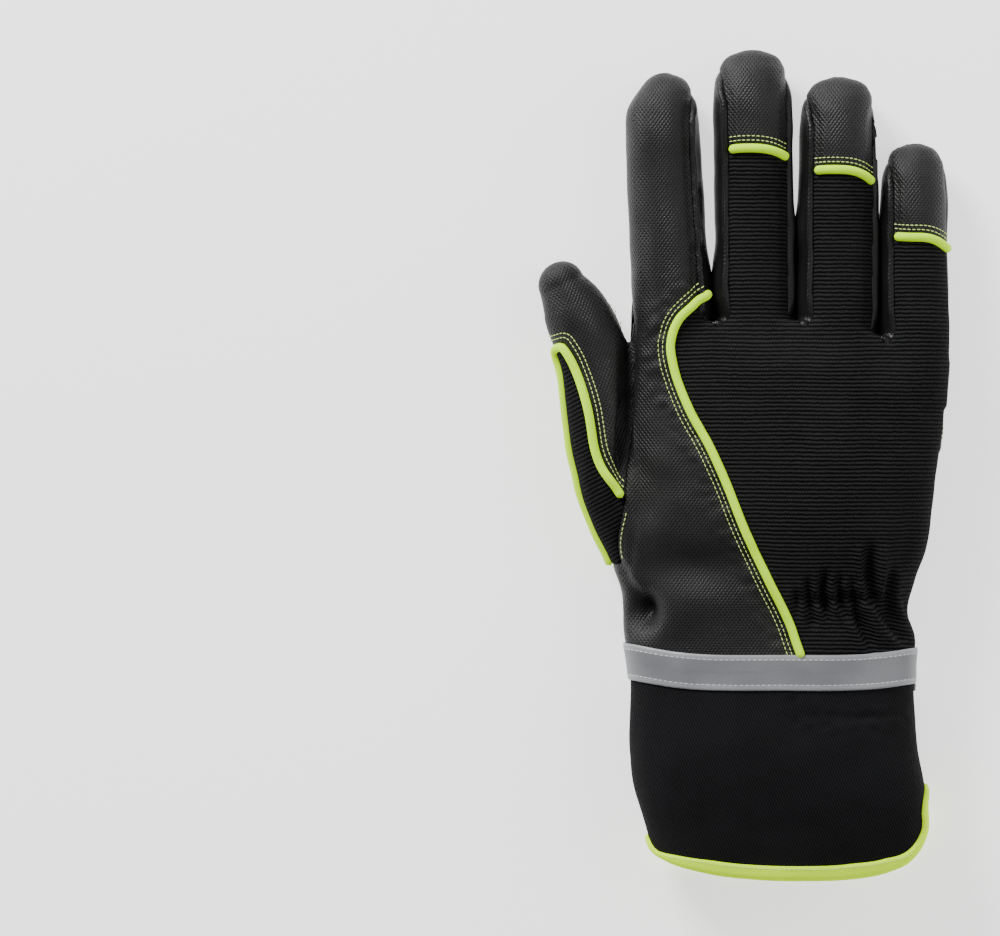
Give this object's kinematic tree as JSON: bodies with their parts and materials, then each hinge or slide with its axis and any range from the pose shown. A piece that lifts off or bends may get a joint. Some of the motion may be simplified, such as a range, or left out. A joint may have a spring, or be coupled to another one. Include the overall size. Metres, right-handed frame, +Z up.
{
  "type": "work glove",
  "caption": "Waterproof mechanic glove for the right hand lying on its palm, with a ribbed knit back, leather palm and patches, contrast piping, a reflective wrist band and a bound cuff",
  "frame": {"origin": "on the resting surface, at the flat underside of the heel patch, under the middle of the palm", "axes": "+X towards the little finger, +Y from the cuff to the fingertips, +Z up out of the back of the hand"},
  "size_m": [0.1362, 0.2737, 0.0367],
  "materials": {
    "leather_black": "embossed coated, satin",
    "patch_leather": "embossed coated, satin",
    "knit_black": "ribbed stretch knit, matt",
    "cuff_twill": "woven twill, matt",
    "reflective_tape": "silver grey retroreflective",
    "piping_yellow": "fluorescent yellow, matt",
    "binding_yellow": "fluorescent yellow, matt"
  },
  "bodies": {
    "root": {"palm_leather": "leather_black", "back_knit": "knit_black", "cap_middle": "leather_black", "piping_middle": "piping_yellow", "cap_ring": "leather_black", "piping_ring": "piping_yellow", "cap_little": "leather_black", "piping_little": "piping_yellow", "fourchette_index_middle": "leather_black", "fourchette_middle_ring": "leather_black", "fourchette_ring_little": "leather_black", "thumb_palm": "leather_black", "thumb_back": "leather_black", "thumb_knit": "knit_black", "upper_patch": "patch_leather", "heel_patch": "patch_leather", "thumb_patch": "patch_leather", "piping_back": "piping_yellow", "piping_thumb_inner": "piping_yellow", "piping_thumb_outer": "piping_yellow", "tape_back": "reflective_tape", "tape_palm": "reflective_tape", "cuff": "cuff_twill", "hem_binding": "binding_yellow"}
  },
  "joints": []
}
